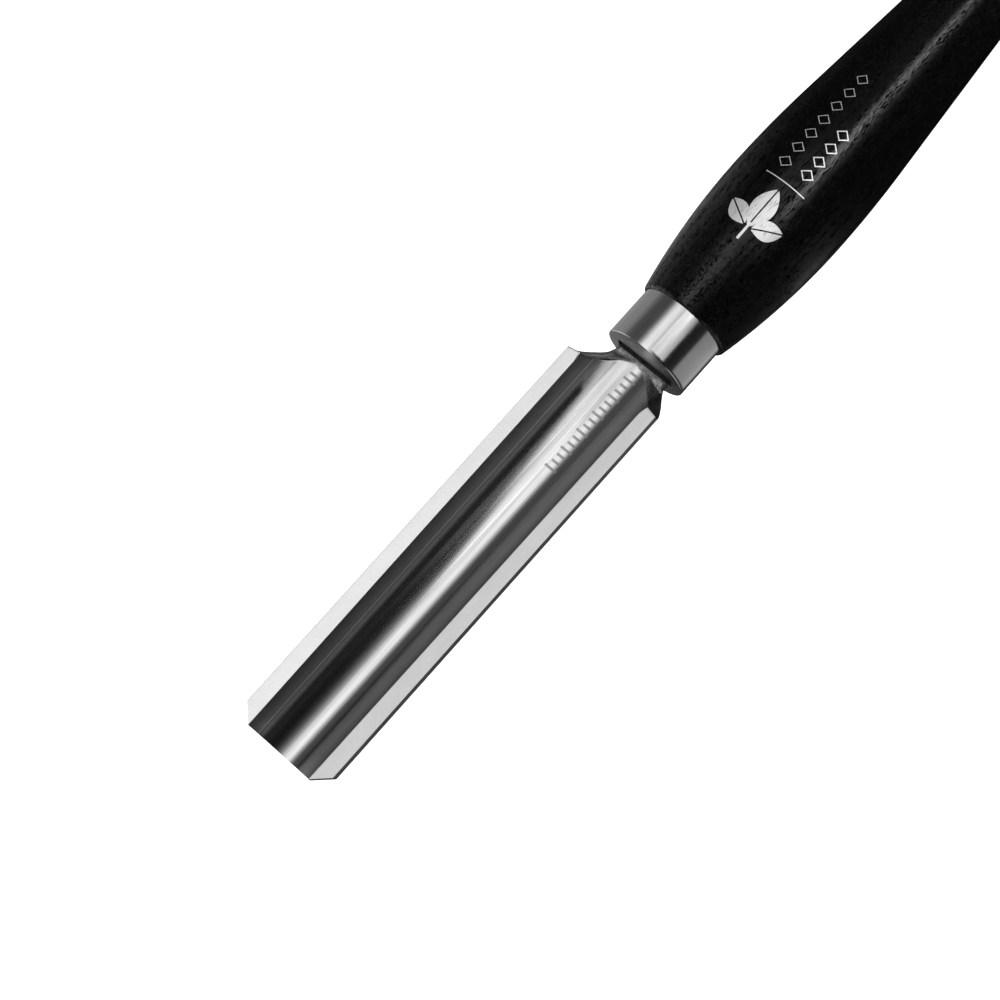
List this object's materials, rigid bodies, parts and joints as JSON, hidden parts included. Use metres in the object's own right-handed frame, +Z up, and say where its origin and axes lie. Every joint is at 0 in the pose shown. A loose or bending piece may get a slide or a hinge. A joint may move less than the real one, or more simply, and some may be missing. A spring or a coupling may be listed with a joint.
{
  "type": "roughing gouge",
  "caption": "Carving and turning gouge with a deep U-section steel blade, scalloped shoulders, a slotted steel ferrule and a swelled black ash handle.",
  "frame": {"origin": "on the handle's axis at the ferrule's front face", "axes": "+X along the tool from the cutting edge to the butt, +Z up with the flute open upwards"},
  "size_m": [0.4715, 0.0394, 0.0394],
  "materials": {
    "tool_steel": "polished flute, fine ground wing tops and bevel",
    "ferrule_steel": "turned and satin polished",
    "black_ash": "open-grained ash, black stain under satin lacquer",
    "epoxy": "cured amber epoxy"
  },
  "bodies": {
    "root": {"blade": "tool_steel", "ferrule": "ferrule_steel", "handle": "black_ash", "tang_epoxy": "epoxy"}
  },
  "joints": []
}
